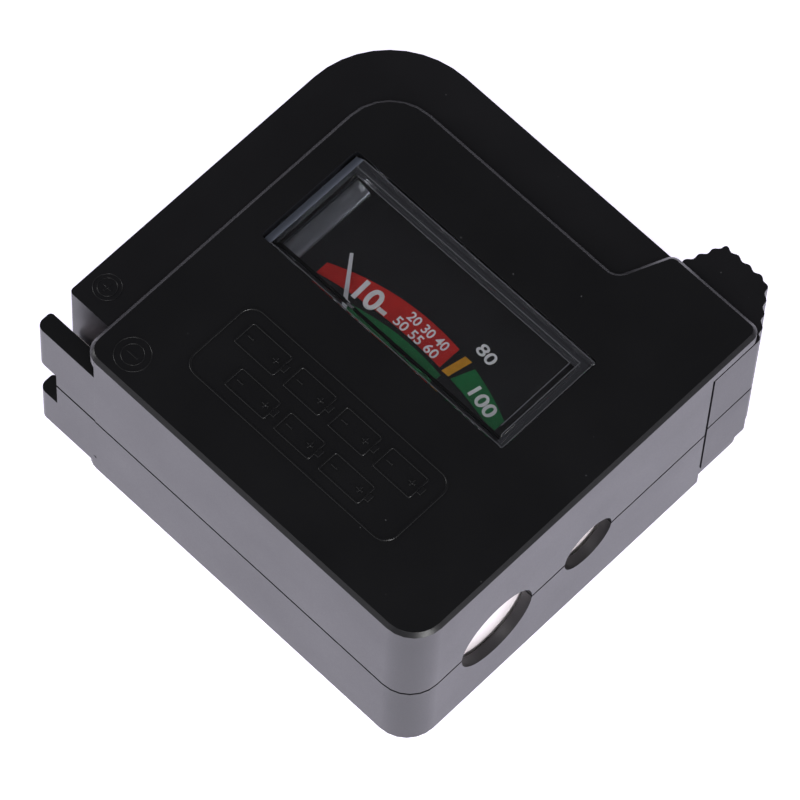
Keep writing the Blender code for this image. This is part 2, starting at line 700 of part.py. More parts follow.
def make_screw(name, centre, head, head_low, head_high, tip, finish="steel"):
    profile = [(0, head_low), (head, head_low), (head, head_high), (SCREW_SHANK, head_high + 0.3),
               (SCREW_SHANK, tip - 0.8), (0, tip)]
    return lathe(name, profile, centre, finish, 16)


def make_screws():
    for name, centre in CASE_SCREWS.items():
        make_screw(name, centre, SCREW_HEAD, 0.9, 2.1, 18.0)
    for name, centre in ARM_SCREWS.items():
        make_screw(name, centre, SCREW_HEAD - 0.5, ARM_BOTTOM + 0.1, ARM_BOTTOM + 0.6, 17.5)
    for name, centre in DIAL_SCREWS.items():
        head_low = DIAL_TOP + 0.1
        profile = [(0, 15.0), (0.45, 15.8), (0.45, head_low), (1.1, head_low), (0.9, head_low + 0.45), (0, head_low + 0.45)]
        lathe(name, profile, centre, "steel", 16)
    for name, x in (("base_screw_left", BASE[0] + 1.6), ("base_screw_right", BASE[1] - 1.6)):
        profile = [(0, BASE_BOTTOM - 0.2), (0.5, BASE_BOTTOM - 0.2), (0.5, BASE_TOP + 0.1), (1.3, BASE_TOP + 0.1),
                   (1.1, BASE_TOP + 0.7), (0, BASE_TOP + 0.7)]
        lathe(name, profile, (x, BASE[3] - 2.0), "steel", 16)


# ---------------------------------------------------------------- assembly

def carry(empty_name, place, names):
    """Hang moving pieces on an empty that stands on their joint's axis."""
    empty = bpy.data.objects.new(empty_name, None)
    bpy.context.scene.collection.objects.link(empty)
    empty.location = to_world(*place)
    bpy.context.view_layer.update()
    for name in names:
        piece = bpy.data.objects[name]
        piece.parent = empty
        piece.matrix_parent_inverse = empty.matrix_world.inverted()


def main():
    clear_scene()
    make_bottom_shell()
    make_top_shell()
    make_arm_lower_shell()
    make_arm_upper_shell()
    make_arm_contact()
    make_arm_conductor()
    make_slide_rail()
    make_hook_contact()
    make_socket_plate("negative_socket_plate", NEGATIVE_SOCKET, 5.9)
    make_socket_plate("positive_socket_plate", NEGATIVE_SOCKET + SOCKET_SPACING, 4.4)
    make_wiper()
    make_resistor("load_resistor", (22.2, 36.9, 4.4), 1.7, 9.0, 1.3)
    make_resistor("series_resistor", (32.6, 36.9, 4.4), 1.2, 5.4, 1.0)
    make_wires()
    make_meter_cover()
    make_dial_plate()
    make_meter_base()
    make_yoke()
    rod("core_magnet", PIVOT, CORE_RADIUS, *CORE, "soft_iron", sides=28)
    make_core_bracket()
    make_coil()
    make_pivots()
    make_jewels()
    make_upper_bridge()
    make_hairspring()
    make_pointer()
    make_screws()
    carry("arm_slide_line", (45.6, ARM_BAR, ARM_PARTING),
          ["arm_lower_shell", "arm_upper_shell", "arm_contact", "arm_conductor", *ARM_SCREWS])
    carry("rail_slide_line", (45.6, RAIL_BACK, ARM_PARTING), ["slide_rail"])
    carry("pointer_axis", (*PIVOT, POINTER_HEIGHT),
          ["pointer", "coil_former", "coil_winding", "lower_pivot", "upper_pivot"])


main()
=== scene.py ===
import math

import bmesh
import bpy
from mathutils import Matrix, Vector


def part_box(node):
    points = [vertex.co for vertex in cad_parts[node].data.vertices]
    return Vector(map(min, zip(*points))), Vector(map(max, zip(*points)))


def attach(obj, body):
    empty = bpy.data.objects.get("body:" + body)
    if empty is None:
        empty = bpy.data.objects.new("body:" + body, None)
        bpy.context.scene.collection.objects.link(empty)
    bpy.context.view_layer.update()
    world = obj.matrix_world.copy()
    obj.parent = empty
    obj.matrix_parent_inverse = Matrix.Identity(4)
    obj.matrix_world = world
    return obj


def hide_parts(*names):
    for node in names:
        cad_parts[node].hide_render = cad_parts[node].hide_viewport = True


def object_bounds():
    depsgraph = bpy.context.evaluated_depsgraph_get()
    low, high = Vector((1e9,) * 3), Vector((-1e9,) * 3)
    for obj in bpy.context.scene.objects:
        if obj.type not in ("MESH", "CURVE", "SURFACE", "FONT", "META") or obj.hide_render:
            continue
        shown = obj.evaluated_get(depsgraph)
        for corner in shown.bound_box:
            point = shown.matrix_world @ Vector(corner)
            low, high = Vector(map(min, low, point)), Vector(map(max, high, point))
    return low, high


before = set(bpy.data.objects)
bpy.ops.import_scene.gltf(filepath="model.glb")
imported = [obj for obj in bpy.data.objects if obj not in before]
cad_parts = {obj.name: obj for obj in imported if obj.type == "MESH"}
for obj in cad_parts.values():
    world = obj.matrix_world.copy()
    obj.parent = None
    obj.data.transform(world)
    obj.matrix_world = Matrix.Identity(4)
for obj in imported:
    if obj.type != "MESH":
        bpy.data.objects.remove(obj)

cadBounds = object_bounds()
mm = 0.001
startCorner = Vector(cadBounds[0])  # left, front and floor of the tester: millimetres count from here


def at(x, y, z):
    return startCorner + Vector((x, y, z)) * mm


def span(node):
    # lowest and highest corner of a CAD node, in millimetres from the start corner
    lowest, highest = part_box(node)
    return [tuple((Vector(corner) - startCorner) / mm) for corner in (lowest, highest)]


topLow, topHigh = span("top_shell")
armLow, armHigh = span("arm_upper_shell")
coverLow, coverHigh = span("meter_cover")
dialLow, dialHigh = span("dial_plate")


# --- modelling helpers: everything is deselected first, and a finished piece keeps its place in its mesh

def clearSelection():
    if bpy.context.object and bpy.context.object.mode != "OBJECT":
        bpy.ops.object.mode_set(mode="OBJECT")
    bpy.ops.object.select_all(action="DESELECT")


def pick(piece):
    clearSelection()
    piece.select_set(True)
    bpy.context.view_layer.objects.active = piece


def settle(piece):
    pick(piece)
    bpy.ops.object.transform_apply(location=True, rotation=True, scale=True)


def addBlock(name, x, y, z):
    clearSelection()
    bpy.ops.mesh.primitive_cube_add(size=mm, location=at((x[0] + x[1]) / 2, (y[0] + y[1]) / 2, (z[0] + z[1]) / 2))
    piece = bpy.context.object
    piece.name = name
    piece.scale = (x[1] - x[0], y[1] - y[0], z[1] - z[0])
    settle(piece)
    return piece


def addDisc(name, x, y, radius, z, sides=48):
    clearSelection()
    bpy.ops.mesh.primitive_cylinder_add(vertices=sides, radius=radius * mm, depth=(z[1] - z[0]) * mm,
                                        location=at(x, y, (z[0] + z[1]) / 2))
    piece = bpy.context.object
    piece.name = name
    settle(piece)
    return piece


def addRing(name, x, y, z, radius, thickness):
    clearSelection()
    bpy.ops.mesh.primitive_torus_add(major_radius=radius * mm, minor_radius=thickness * mm, major_segments=56,
                                     minor_segments=10, location=at(x, y, z))
    piece = bpy.context.object
    piece.name = name
    settle(piece)
    return piece


def edit(piece, kind, test):
    # opens edit mode with only the faces or edges chosen that pass the test
    pick(piece)
    bpy.ops.object.mode_set(mode="EDIT")
    bpy.ops.mesh.select_mode(type="FACE" if kind == "faces" else "EDGE")
    bpy.ops.mesh.select_all(action="DESELECT")
    shape = bmesh.from_edit_mesh(piece.data)
    chosen = 0
    for part in getattr(shape, kind):
        if test(part):
            part.select_set(True)
            chosen += 1
    shape.select_flush_mode()
    bmesh.update_edit_mesh(piece.data)
    return chosen


def editDone():
    bpy.ops.object.mode_set(mode="OBJECT")


def inMillimetres(point):
    return (point - startCorner) / mm


def upright(edge):
    a, b = edge.verts
    return (a.co - b.co).xy.length < 1e-7


def roundUprights(piece, radius, segments):
    edit(piece, "edges", upright)
    bpy.ops.mesh.bevel(offset=radius * mm, segments=segments, affect="EDGES")
    editDone()


def useModifier(piece, kind, **settings):
    pick(piece)
    modifier = piece.modifiers.new(kind.title(), kind)
    for name, value in settings.items():
        setattr(modifier, name, value)
    bpy.ops.object.modifier_apply(modifier=modifier.name)


def combine(piece, other, operation):
    useModifier(piece, "BOOLEAN", operation=operation, solver="EXACT", object=other)
    bpy.data.objects.remove(other, do_unlink=True)


def joinPieces(name, pieces):
    clearSelection()
    for piece in pieces:
        piece.select_set(True)
    bpy.context.view_layer.objects.active = pieces[0]
    bpy.ops.object.join()
    pieces[0].name = name
    return pieces[0]


def softenEdges(piece, width, segments=2, limit=34.0, smooth=21.0):
    useModifier(piece, "BEVEL", width=width * mm, segments=segments, limit_method="ANGLE",
                angle_limit=math.radians(limit), use_clamp_overlap=True)
    pick(piece)
    bpy.ops.object.shade_smooth_by_angle(angle=math.radians(smooth))
    useModifier(piece, "WEIGHTED_NORMAL", keep_sharp=True)


def copyNode(node, name):
    # own copy of a CAD node's mesh, merged and with its flat faces made whole again
    piece = bpy.data.objects.new(name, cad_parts[node].data.copy())
    bpy.context.scene.collection.objects.link(piece)
    pick(piece)
    bpy.ops.object.mode_set(mode="EDIT")
    bpy.ops.mesh.select_all(action="SELECT")
    bpy.ops.mesh.remove_doubles(threshold=2e-6)
    bpy.ops.mesh.dissolve_limited(angle_limit=math.radians(0.6))
    editDone()
    return piece


def closeLedges(piece, ledge=0.03, corner=3.7):
    # walls that stand a hair inside the plates are brought flush, so that no line shows between them
    frontMiddle = Vector((topHigh[0] - corner, corner))
    edit(piece, "faces", lambda face: False)
    shape = bmesh.from_edit_mesh(piece.data)
    for point in shape.verts:
        x, y, z = inMillimetres(point.co)
        fromCorner = Vector((x, y)) - frontMiddle
        if x > frontMiddle.x and y < corner:
            if abs(fromCorner.length - (corner - ledge)) < 0.012:
                point.co.xy += fromCorner.normalized() * ledge * mm
        elif abs(x - (topHigh[0] - ledge)) < 0.008:
            point.co.x += ledge * mm
        elif abs(y - ledge) < 0.008:
            point.co.y -= ledge * mm
    bmesh.update_edit_mesh(piece.data)
    bpy.ops.mesh.select_all(action="SELECT")
    bpy.ops.mesh.remove_doubles(threshold=0.012 * mm)
    bpy.ops.mesh.dissolve_degenerate(threshold=0.004 * mm)
    bpy.ops.mesh.dissolve_limited(angle_limit=math.radians(0.8))
    editDone()


def place(piece, body, finish, replaced=()):
    piece.data.materials.clear()
    piece.data.materials.append(finish)
    if replaced:
        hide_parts(*replaced)
    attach(piece, body)


# --- shader maths as expressions, and one method for every other node

class Wire:
    def __init__(self, finish, socket):
        self.finish = finish
        self.socket = socket

    def maths(self, operation, first, second):
        return self.finish.node("ShaderNodeMath", {"operation": operation}, {0: first, 1: second})

    def __add__(self, other):
        return self.maths("ADD", self, other)

    def __radd__(self, other):
        return self.maths("ADD", other, self)

    def __sub__(self, other):
        return self.maths("SUBTRACT", self, other)

    def __rsub__(self, other):
        return self.maths("SUBTRACT", other, self)

    def __mul__(self, other):
        return self.maths("MULTIPLY", self, other)

    def __rmul__(self, other):
        return self.maths("MULTIPLY", other, self)


class Finish:
    def __init__(self, name):
        self.material = bpy.data.materials.new(name)
        self.material.use_nodes = True
        self.tree = self.material.node_tree
        self.surface = self.tree.nodes["Principled BSDF"]
        self.object = Wire(self, self.tree.nodes.new("ShaderNodeTexCoord").outputs["Object"])

    def node(self, kind, settings=None, values=None, output=0):
        made = self.tree.nodes.new(kind)
        for name, value in (settings or {}).items():
            if name == "stops":
                self.setStops(made.color_ramp, value)
            else:
                setattr(made, name, value)
        for name, value in (values or {}).items():
            self.feed(made.inputs[name], value)
        return Wire(self, made.outputs[output])

    def setStops(self, ramp, stops):
        while len(ramp.elements) < len(stops):
            ramp.elements.new(0.5)
        for element, (position, shade) in zip(ramp.elements, stops):
            element.position = position
            element.color = (shade, shade, shade, 1.0) if isinstance(shade, float) else (*shade, 1.0)

    def feed(self, socket, value):
        if isinstance(value, Wire):
            self.tree.links.new(value.socket, socket)
        elif isinstance(value, tuple) and socket.type == "RGBA":
            socket.default_value = (*value, 1.0)
        else:
            socket.default_value = value

    def noise(self, size, detail=3.0, roughness=0.55, stretch=(1.0, 1.0, 1.0)):
        # size is the width of a patch in millimetres
        scaled = self.node("ShaderNodeMapping", {}, {"Vector": self.object, "Scale": stretch})
        return self.node("ShaderNodeTexNoise", {}, {"Vector": scaled, "Scale": 1.0 / (size * mm), "Detail": detail,
                                                    "Roughness": roughness})

    def cells(self, size):
        return self.node("ShaderNodeTexVoronoi", {}, {"Vector": self.object, "Scale": 1.0 / (size * mm)})

    def ramp(self, value, stops):
        return self.node("ShaderNodeValToRGB", {"stops": stops}, {"Fac": value})

    def blendColours(self, amount, first, second):
        # sockets 0, 6 and 7 of a colour Mix node are its factor and its two colours; output 2 is the colour
        return self.node("ShaderNodeMix", {"data_type": "RGBA"}, {0: amount, 6: first, 7: second}, 2)

    def bump(self, height, depth, strength=1.0, under=None):
        values = {"Height": height, "Distance": depth * mm, "Strength": strength}
        if under:
            values["Normal"] = under
        return self.node("ShaderNodeBump", {}, values)

    def set(self, **values):
        names = {"colour": "Base Color", "roughness": "Roughness", "metallic": "Metallic", "normal": "Normal",
                 "coat": "Coat Weight", "coatRoughness": "Coat Roughness", "ior": "IOR", "alpha": "Alpha",
                 "glass": "Transmission Weight", "specular": "Specular IOR Level", "emission": "Emission Color",
                 "glow": "Emission Strength"}
        for name, value in values.items():
            self.feed(self.surface.inputs[names[name]], value)
        return self.material


# --- finishes

mouldedLook = {
    "colour": (0.0034, 0.0034, 0.0041), "wornColour": (0.010, 0.010, 0.0115), "dustColour": (0.20, 0.20, 0.21),
    "roughness": 0.36, "grain": 0.16, "grainDepth": 0.006, "ripple": 2.6,
}


def mouldedBlack(name, look, grainStretch=(1.0, 1.0, 1.0)):
    # satin black moulding: fine spark grain, faint cloudiness, a few dust specks and short rub marks
    finish = Finish(name)
    grain = finish.noise(look["grain"], 4.0, 0.6, grainStretch)
    cloud = finish.noise(9.0, 3.0, 0.5)
    ripple = finish.noise(look["ripple"], 2.0, 0.5)
    rub = finish.ramp(finish.noise(1.1, 5.0, 0.7, (1.0, 7.0, 1.0)), [(0.0, 0.0), (0.70, 0.0), (0.78, 1.0)])
    rubPatch = finish.ramp(finish.noise(7.0, 2.0, 0.5), [(0.0, 0.0), (0.58, 0.0), (0.68, 1.0)])
    specks = finish.cells(1.9)
    dust = finish.ramp(specks, [(0.0, 1.0), (0.035, 1.0), (0.05, 0.0)])
    dustPatch = finish.ramp(finish.noise(5.0, 2.0, 0.6), [(0.0, 0.0), (0.55, 0.0), (0.60, 1.0)])
    clouded = finish.blendColours(cloud, look["colour"], tuple(1.45 * value for value in look["colour"]))
    rubbed = finish.blendColours(rub * rubPatch * 0.5, clouded, look["wornColour"])
    dusty = finish.blendColours(dust * dustPatch * 0.35, rubbed, look["dustColour"])
    roughness = look["roughness"] + (cloud - 0.5) * 0.10 + (grain - 0.5) * 0.12 + dust * dustPatch * 0.2
    fine = finish.bump(grain, look["grainDepth"], 0.5)
    normal = finish.bump(ripple, 0.012, 0.25, fine)
    return finish.set(colour=dusty, roughness=roughness, normal=normal, ior=1.52)


def metalFinish(name, colour, roughness, grainSize, stretch, tarnish=0.75, metallic=1.0):
    # rolled or turned metal: drawn grain one way and slow tarnish clouds
    finish = Finish(name)
    drawn = finish.noise(grainSize, 3.0, 0.6, stretch)
    cloud = finish.noise(3.5, 3.0, 0.6)
    dull = tuple(tarnish * value for value in colour)
    tone = finish.blendColours(finish.ramp(cloud, [(0.35, 0.0), (0.75, 1.0)]), colour, dull)
    rough = roughness + (drawn - 0.5) * 0.16 + (cloud - 0.5) * 0.10
    return finish.set(colour=tone, roughness=rough, metallic=metallic, normal=finish.bump(drawn, 0.004, 0.35))


def paintFinish(name, colour, roughness=0.45, mottle=0.85, grainSize=0.12):
    # printed or painted coat: slightly uneven ink with a fine tooth
    finish = Finish(name)
    ink = finish.noise(0.7, 4.0, 0.6)
    tooth = finish.noise(grainSize, 3.0, 0.6)
    thin = tuple(mottle * value for value in colour)
    tone = finish.blendColours(finish.ramp(ink, [(0.35, 0.0), (0.7, 1.0)]), colour, thin)
    return finish.set(colour=tone, roughness=roughness + (tooth - 0.5) * 0.15, normal=finish.bump(tooth, 0.003, 0.4))


def windingFinish():
    # enamelled copper wire laid in fine turns
    finish = Finish("copperWinding")
    turns = finish.node("ShaderNodeTexWave", {"bands_direction": "Y"}, {"Vector": finish.object, "Scale": 1400.0,
                                                                       "Distortion": 0.4})
    tone = finish.blendColours(turns, (0.30, 0.10, 0.04), (0.80, 0.36, 0.16))
    return finish.set(colour=tone, metallic=1.0, roughness=0.32 + turns * 0.1, normal=finish.bump(turns, 0.03, 0.6),
                      coat=0.4, coatRoughness=0.15)


def resistorFinish():
    # ceramic lacquer with three painted bands round the body
    finish = Finish("resistorLacquer")
    bands = finish.node("ShaderNodeTexWave", {"bands_direction": "X"}, {"Vector": finish.object, "Scale": 190.0,
                                                                       "Phase Offset": 0.9})
    mottle = finish.noise(0.5, 3.0, 0.6)
    body = finish.blendColours(mottle, (0.60, 0.47, 0.30), (0.50, 0.38, 0.24))
    tone = finish.blendColours(finish.ramp(bands, [(0.0, 0.0), (0.86, 0.0), (0.90, 1.0)]), body, (0.16, 0.05, 0.02))
    return finish.set(colour=tone, roughness=0.35 + mottle * 0.1, coat=0.3, coatRoughness=0.2,
                      normal=finish.bump(mottle, 0.01, 0.3))


def clearFinish():
    # polished clear lid: nearly invisible face on, with faint haze and hairline scratches
    finish = Finish("clearLid")
    haze = finish.noise(4.0, 3.0, 0.5)
    scratch = finish.ramp(finish.noise(0.9, 4.0, 0.6, (1.0, 9.0, 1.0)), [(0.0, 0.0), (0.72, 0.0), (0.78, 1.0)])
    return finish.set(colour=(0.97, 0.98, 1.0), roughness=0.02 + haze * 0.03 + scratch * 0.12, glass=1.0, ior=1.46,
                      normal=finish.bump(haze, 0.01, 0.1))


def paintedLidLight(name, colour, alpha, roughness):
    # painted highlight: colour and see-through laid on the clear lid's edges, standing for the light caught in them
    finish = Finish(name)
    streak = finish.noise(5.0, 2.0, 0.5)
    return finish.set(colour=finish.blendColours(streak, colour, tuple(0.7 * value for value in colour)),
                      alpha=alpha * 0.75 + streak * alpha * 0.5, roughness=roughness + streak * 0.1)


caseBlack = mouldedBlack("caseBlack", mouldedLook)
# painted highlights, painted sheen and painted reflection for the clear lid's edges
lidLine = paintedLidLight("lidLine", (0.22, 0.225, 0.25), 0.42, 0.25)
lidHaze = paintedLidLight("lidHaze", (0.10, 0.103, 0.12), 0.16, 0.35)
lidBand = paintedLidLight("lidBand", (0.19, 0.21, 0.27), 0.9, 0.38)
coveGrey = metalFinish("coveGrey", (0.30, 0.31, 0.34), 0.20, 0.6, (1.0, 0.2, 1.0), 0.85, 0.7)
armBlack = mouldedBlack("armBlack", {**mouldedLook, "colour": (0.0048, 0.0046, 0.0058), "roughness": 0.40,
                                     "ripple": 3.4})
clearLid = clearFinish()
nickel = metalFinish("nickelPlate", (0.97, 0.90, 0.91), 0.42, 0.35, (1.0, 1.0, 9.0), 0.95, 0.25)
steel = metalFinish("steelSheet", (0.58, 0.58, 0.60), 0.30, 0.25, (1.0, 0.08, 1.0))
softIron = metalFinish("softIron", (0.30, 0.30, 0.32), 0.48, 0.3, (1.0, 1.0, 1.0), 0.6)
brass = metalFinish("brassPart", (0.78, 0.60, 0.30), 0.30, 0.2, (1.0, 6.0, 1.0))
aluminium = metalFinish("aluminiumFrame", (0.82, 0.82, 0.84), 0.34, 0.2, (1.0, 1.0, 5.0))
dialBlack = paintFinish("dialBlack", (0.0075, 0.0075, 0.0085), 0.42, 0.8, 0.2)
needleWhite = paintFinish("needleWhite", (0.78, 0.78, 0.82), 0.40, 0.95)
inkWhite = paintFinish("inkWhite", (0.95, 0.95, 0.97), 0.50, 0.92)
inkRed = paintFinish("inkRed", (0.60, 0.014, 0.009), 0.45, 0.88)
inkGreen = paintFinish("inkGreen", (0.006, 0.185, 0.050), 0.45, 0.85)
inkYellow = paintFinish("inkYellow", (0.72, 0.33, 0.015), 0.45, 0.90)
greyMoulding = paintFinish("greyMoulding", (0.16, 0.16, 0.17), 0.50, 0.85, 0.3)
redSleeve = paintFinish("redSleeve", (0.50, 0.015, 0.015), 0.38, 0.85)
blackSleeve = paintFinish("blackSleeve", (0.012, 0.012, 0.013), 0.38, 0.80)
copperWinding = windingFinish()
resistorLacquer = resistorFinish()
print("finishes made")

nodeFinishes = {
    nickel: ["arm_contact", "hook_contact", "negative_socket_plate", "positive_socket_plate"],
    steel: ["slide_rail", "lower_pivot", "upper_pivot", "dial_screw_left", "dial_screw_right", "base_screw_left",
            "base_screw_right"],
    softIron: ["yoke_ring", "core_magnet"],
    brass: ["arm_conductor", "wiper_spring", "core_bracket", "lower_jewel_screw", "upper_jewel_screw",
            "upper_bridge", "hairspring"],
    aluminium: ["coil_former"], copperWinding: ["coil_winding"], dialBlack: ["dial_plate"],
    greyMoulding: ["meter_base"], resistorLacquer: ["load_resistor", "series_resistor"],
    redSleeve: ["rail_wire", "socket_wire", "coil_wire"], blackSleeve: ["hook_wire"],
}
for finish, names in nodeFinishes.items():
    for nodeName in names:
        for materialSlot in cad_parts[nodeName].material_slots:
            materialSlot.material = finish


# --- case and arm mouldings

def roundArmEnd(piece, width=0.65):
    # wide rounded edge where the arm's top meets its end
    def test(edge):
        return all(inMillimetres(v.co).z > armHigh[2] - 0.02 and inMillimetres(v.co).y < armLow[1] + 0.02
                   for v in edge.verts)
    if edit(piece, "edges", test):
        bpy.ops.mesh.bevel(offset=width * mm, segments=3, affect="EDGES")
    editDone()


shellEdges = {"top_shell": 0.09, "bottom_shell": 0.14, "arm_upper_shell": 0.30, "arm_lower_shell": 0.18}
shellNames = {"top_shell": "caseTop", "bottom_shell": "caseBottom", "arm_upper_shell": "armTop",
              "arm_lower_shell": "armBottom"}
for nodeName, edgeWidth in shellEdges.items():
    shell = copyNode(nodeName, shellNames[nodeName])
    onArm = nodeName.startswith("arm")
    if onArm:
        roundArmEnd(shell)
    else:
        closeLedges(shell)
    softenEdges(shell, edgeWidth)
    place(shell, "arm" if onArm else "case", armBlack if onArm else caseBlack, [nodeName])
print("case and arm made")


# --- clear lid over the dial

# the lid's table also sizes the painted highlight lines and the painted sheen laid along its edges
lid = {
    "wall": 1.0, "top": 0.9, "play": 0.15, "edge": 0.12, "lip": 0.7, "lipTop": 22.2, "endRound": 1.3,
    "slope": (1.05, 0.78), "frames": ((0.0, 0.09), (1.0, 0.09), (1.7, 0.08)), "haze": 1.7, "endHaze": 0.9,
    "cove": (10.1, 13.1, 21.65),
}


def makeLid():
    reach = lid["lip"] + lid["play"]
    lowY, highY = coverLow[1] + reach, coverHigh[1] - reach
    piece = addBlock("meterCover", (coverLow[0], coverHigh[0]), (lowY, highY), (coverLow[2], coverHigh[2]))
    # lip along the front and back that holds the lid under the case
    edit(piece, "faces", lambda face: True)
    bpy.ops.mesh.bisect(plane_co=at(0, 0, lid["lipTop"]), plane_no=(0, 0, 1))
    for side, y in ((-1, lowY), (1, highY)):
        edit(piece, "faces", lambda face: face.normal.y * side > 0.9
             and inMillimetres(face.calc_center_median()).z < lid["lipTop"])
        bpy.ops.mesh.extrude_region_move(TRANSFORM_OT_translate={"value": (0, side * reach * mm, 0)})
    # hollow from below, with a rounded end wall
    inset = lid["wall"]
    editDone()
    hollow = addBlock("hollow", (coverLow[0] + inset, coverHigh[0] - inset), (lowY + inset, highY - inset),
                      (coverLow[2] - 1.0, coverHigh[2] - lid["top"]))
    edit(hollow, "edges", lambda edge: all(inMillimetres(v.co).z > coverLow[2] and inMillimetres(v.co).x
                                           < coverLow[0] + inset + 0.01 for v in edge.verts))
    bpy.ops.mesh.bevel(offset=lid["endRound"] * mm, segments=8, affect="EDGES")
    editDone()
    combine(piece, hollow, "DIFFERENCE")
    # sloped facet along the left end
    across, down = lid["slope"]
    edit(piece, "faces", lambda face: True)
    bpy.ops.mesh.bisect(plane_co=at(coverLow[0] + across, 0, coverHigh[2]), plane_no=(-down, 0, across), use_fill=True,
                        clear_outer=True)
    editDone()
    softenEdges(piece, lid["edge"], 2, 30.0, 20.0)
    place(piece, "case", clearLid, ["meter_cover"])
    return lowY, highY


def makeLidEdges(lowY, highY):
    # painted highlights: pale lines and bands laid just over the clear lid stand for the light caught in its moulded
    # edges
    frames = []
    top = coverHigh[2] + 0.02
    for index, (inset, line) in enumerate(lid["frames"]):
        x0 = coverLow[0] + max(inset, 1.0)
        bars = [((x0, coverHigh[0] - inset), (highY - inset - line, highY - inset)),
                ((coverHigh[0] - inset - line, coverHigh[0] - inset), (lowY + inset, highY - inset))]
        if index == 0:
            bars.append(((x0, coverHigh[0]), (lowY, lowY + line)))
        for x, y in bars:
            frames.append(addBlock("edge", x, y, (top, top + 0.02)))
    lines = joinPieces("lidEdgeLines", frames)
    softenEdges(lines, 0.008, 1, 40.0, 30.0)
    place(lines, "case", lidLine)
    # painted sheen: grey see-through sheets along the lid's back and right edges stand for light in its walls; haze
    # here is their width
    haze, levels = lid["haze"], (top - 0.012, top - 0.004)
    sheenSheets = [addBlock("veil", (coverLow[0] + 1.0, coverHigh[0]), (highY - haze, highY), levels),
             addBlock("veil", (coverHigh[0] - lid["endHaze"], coverHigh[0]), (lowY, highY - haze), levels)]
    place(joinPieces("lidEdgeHaze", sheenSheets), "case", lidHaze)
    # painted reflection: a pale see-through band laid over the lid's sloped end facet
    across, down = lid["slope"]
    slope = addBlock("lidEndBand", (coverLow[0] - 0.01, coverLow[0] + across), (lowY, highY), (top - 0.03, top))
    edit(slope, "faces", lambda face: face.normal.x < -0.9)
    bpy.ops.transform.translate(value=(0, 0, -down * mm))
    editDone()
    softenEdges(slope, 0.01, 1, 40.0, 30.0)
    place(slope, "case", lidBand)
    # satin cove at the left end, from the lid's wall down to the dial
    x0, x1, z1 = lid["cove"]
    cove = addBlock("dialCove", (x0, x1 + 0.01), (lowY + 1.1, highY - 1.1), (dialHigh[2] + 0.02, z1 + 0.01))
    clearSelection()
    bpy.ops.mesh.primitive_cylinder_add(vertices=96, radius=1.0, depth=0.1, location=(0, 0, 0),
                                        rotation=(math.pi / 2, 0, 0))
    roller = bpy.context.object
    roller.scale = ((x1 - x0) * mm, (z1 - dialHigh[2]) * mm, 1.0)
    settle(roller)
    roller.location = at(x0, (lowY + highY) / 2, dialHigh[2])
    settle(roller)
    combine(cove, roller, "INTERSECT")
    softenEdges(cove, 0.03, 1, 40.0, 30.0)
    place(cove, "case", coveGrey)


makeLidEdges(*makeLid())
print("lid made")


# --- printed dial

printing = {
    "thickness": 0.03, "lift": 0.005,
    "arc": (27.1, -1.2, 28.4), "lowerArc": (26.6, -26.0, 50.4), "line": (27.45, -4.63, 28.6, 26.9),
    "red": (15.25, 30.8), "green": (30.8, 39.25), "greenSlant": 1.0, "lineEnds": (20.2, 31.5),
    "yellow": {"x": (31.2, 32.1), "y": (24.1, 26.82), "lean": 0.58},
}
printLow = dialHigh[2] + printing["lift"]
printHigh = printLow + printing["thickness"]


def arcPatch(name, x, slants=(0.0, 0.0)):
    # patch between the scale's outer arc and the flatter arc below it; slants lean its ends
    arc, lower = printing["arc"], printing["lowerArc"]
    patch = addDisc(name, arc[0], arc[1], arc[2], (printLow, printHigh), 360)
    ends = addBlock("ends", x, (20.0, 30.0), (printLow - 0.5, printHigh + 0.5))
    for side, slant in enumerate(slants):
        if slant:
            edit(ends, "edges", lambda edge: all(abs(inMillimetres(v.co).x - x[side]) < 0.01
                                                 and inMillimetres(v.co).y > 29.0 for v in edge.verts))
            bpy.ops.transform.translate(value=(slant * mm * 4, 0, 0))
            editDone()
    combine(patch, ends, "INTERSECT")
    combine(patch, addDisc("under", lower[0], lower[1], lower[2], (printLow - 0.5, printHigh + 0.5), 480), "DIFFERENCE")
    return patch


def makeDialPrint():
    red = arcPatch("redBand", printing["red"], (0.0, 0.02))
    place(red, "case", inkRed)
    green = arcPatch("greenBand", printing["green"], (printing["greenSlant"], 0.0))
    x, y, outer, inner = printing["line"]
    line = addDisc("greenLine", x, y, outer, (printLow, printHigh), 360)
    combine(line, addDisc("under", x, y, inner, (printLow - 0.5, printHigh + 0.5), 360), "DIFFERENCE")
    combine(line, addBlock("ends", printing["lineEnds"], (20.0, 30.0), (printLow - 0.5, printHigh + 0.5)), "INTERSECT")
    place(joinPieces("greenBand", [green, line]), "case", inkGreen)
    yellow = printing["yellow"]
    mark = addBlock("yellowMark", yellow["x"], yellow["y"], (printLow, printHigh))
    edit(mark, "edges", lambda edge: all(inMillimetres(v.co).y > 26.0 for v in edge.verts))
    bpy.ops.transform.translate(value=(yellow["lean"] * mm, 0, 0))
    editDone()
    place(mark, "case", inkYellow)


makeDialPrint()


def addNumber(words, x, y, size, turn=0.0, weight=0.0, wide=1.0):
    # text is made a mesh first, and its place is applied after that
    clearSelection()
    bpy.ops.object.text_add(location=at(x, y, printHigh + 0.02))
    piece = bpy.context.object
    piece.data.body = words
    piece.data.size = size * 1.4 * mm
    piece.data.extrude = 0.012 * mm
    piece.data.offset = weight * mm
    piece.data.align_x = "CENTER"
    piece.data.align_y = "CENTER"
    bpy.ops.object.convert(target="MESH")
    piece = bpy.context.object
    piece.rotation_euler = (0.0, 0.0, math.radians(turn))
    piece.scale = (wide, 1.0, 1.0)
    settle(piece)
    return piece


